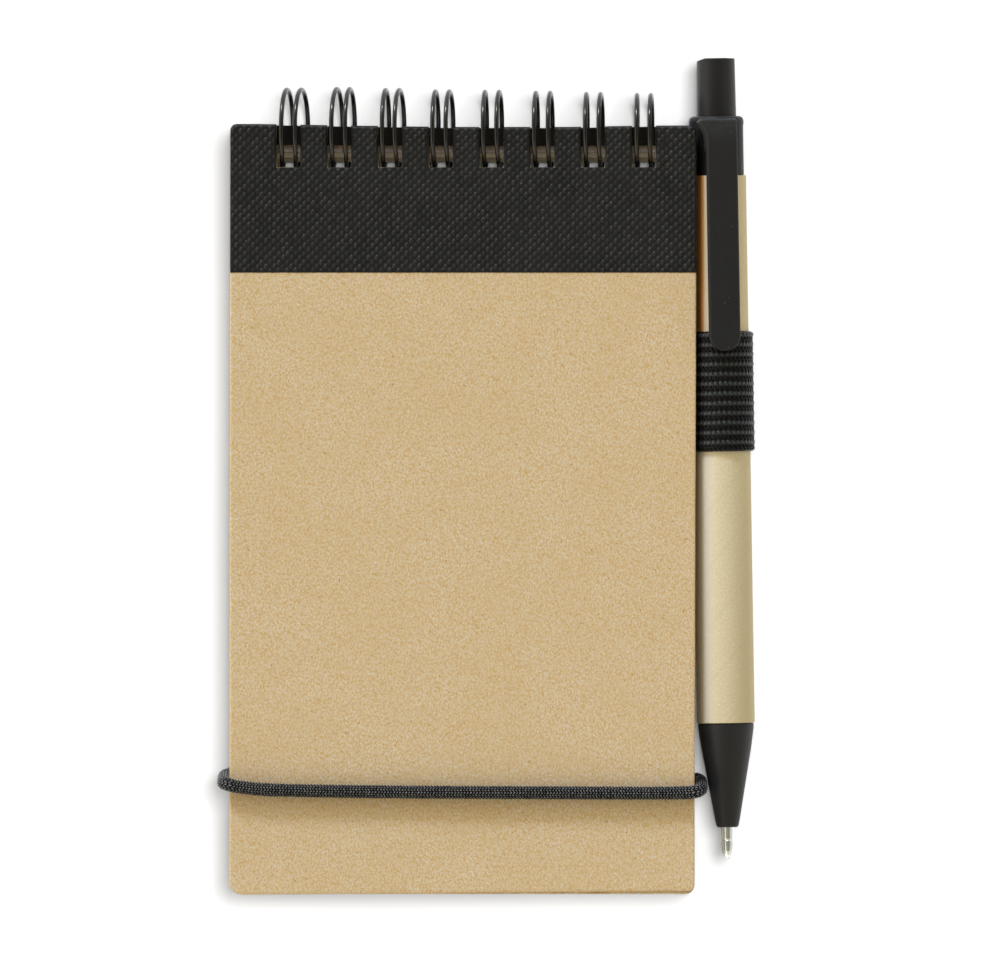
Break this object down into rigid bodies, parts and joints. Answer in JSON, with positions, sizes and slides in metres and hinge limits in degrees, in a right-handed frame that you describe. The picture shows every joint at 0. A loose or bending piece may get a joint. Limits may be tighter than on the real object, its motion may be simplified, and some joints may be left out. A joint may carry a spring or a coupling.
{
  "type": "pocket notebook with pen",
  "caption": "Top-bound pocket notebook with kraft board covers, black spine strip on a twin-loop wire, elastic closure and a push-button pen in an elastic loop.",
  "frame": {"origin": "centre of the back cover's outer face, halfway between the cover's side edges and between its top and bottom edges", "axes": "+X to the right across the cover, +Y up the cover towards the wire, +Z out of the front cover; the wire and the closure reach below Z = 0"},
  "size_m": [0.0897, 0.1397, 0.0154],
  "materials": {
    "kraft_board": "uncoated fibrous kraft",
    "leatherette": "embossed, low sheen",
    "lining": "matte black",
    "coated_wire": "glossy black coating",
    "paper": "uncoated",
    "elastic": "woven or braided",
    "black_plastic": "satin",
    "card_tube": "smooth",
    "steel": "bright",
    "nickel": "polished",
    "refill_plastic": "smooth"
  },
  "bodies": {
    "pad": {"back_board": "kraft_board", "back_liner": "lining", "back_spine_strip": "leatherette", "binding_wire": "coated_wire", "cord_anchor_left": "steel", "cord_anchor_right": "steel", "cord_back_left": "elastic", "cord_back_right": "elastic", "page_block_lower": "paper", "page_block_middle": "paper", "page_block_upper": "paper", "pen_loop": "elastic"},
    "front_cover": {"front_board": "kraft_board", "front_liner": "lining", "front_spine_strip": "leatherette"},
    "sheet_1": {"sheet_1": "paper"},
    "sheet_2": {"sheet_2": "paper"},
    "sheet_3": {"sheet_3": "paper"},
    "sheet_4": {"sheet_4": "paper"},
    "cord_front": {"cord_front": "elastic"},
    "pen": {"pen_cap": "black_plastic", "pen_barrel": "card_tube", "pen_nose": "black_plastic", "pen_spring": "steel"},
    "button": {"pen_button": "black_plastic"},
    "refill": {"refill_tube": "refill_plastic", "refill_tip": "nickel", "tip_ball": "steel", "cam_rotor": "black_plastic"}
  },
  "joints": [
    {"name": "front_cover_hinge", "type": "hinge", "parent": "pad", "child": "front_cover", "pos_m": [0, 0.0634, 0.0055], "axis": [-1, 0, 0], "range_deg": [0, 150]},
    {"name": "sheet_1_hinge", "type": "hinge", "parent": "pad", "child": "sheet_1", "pos_m": [0, 0.0634, 0.0055], "axis": [-1, 0, 0], "range_deg": [0, 150]},
    {"name": "sheet_2_hinge", "type": "hinge", "parent": "pad", "child": "sheet_2", "pos_m": [0, 0.0634, 0.0055], "axis": [-1, 0, 0], "range_deg": [0, 150]},
    {"name": "sheet_3_hinge", "type": "hinge", "parent": "pad", "child": "sheet_3", "pos_m": [0, 0.0634, 0.0055], "axis": [-1, 0, 0], "range_deg": [0, 150]},
    {"name": "sheet_4_hinge", "type": "hinge", "parent": "pad", "child": "sheet_4", "pos_m": [0, 0.0634, 0.0055], "axis": [-1, 0, 0], "range_deg": [0, 150]},
    {"name": "cord_release_slide", "type": "slide", "parent": "pad", "child": "cord_front", "axis": [0, -1, 0], "range_m": [0, 0.026], "deforming": ["cord_front", "cord_back_left", "cord_back_right"]},
    {"name": "pen_slide", "type": "slide", "parent": "pad", "child": "pen", "axis": [-0.0161, 0.9999, 0], "range_m": [0, 0.145]},
    {"name": "button_slide", "type": "slide", "parent": "pen", "child": "button", "axis": [-0.0161, 0.9999, 0], "range_m": [-0.001, 0.0055]},
    {"name": "refill_slide", "type": "slide", "parent": "pen", "child": "refill", "axis": [-0.0161, 0.9999, 0], "range_m": [-0.001, 0.0055], "deforming": ["pen_spring"]}
  ],
  "couplings": [
    {"joint": "sheet_1_hinge", "follows": "front_cover_hinge", "ratio": 0.95},
    {"joint": "sheet_2_hinge", "follows": "front_cover_hinge", "ratio": 0.9},
    {"joint": "sheet_3_hinge", "follows": "front_cover_hinge", "ratio": 0.84},
    {"joint": "sheet_4_hinge", "follows": "front_cover_hinge", "ratio": 0.77},
    {"joint": "cord_release_slide", "follows": "front_cover_hinge", "m_per_rad": 0.0095},
    {"joint": "refill_slide", "follows": "button_slide", "ratio": 1}
  ]
}
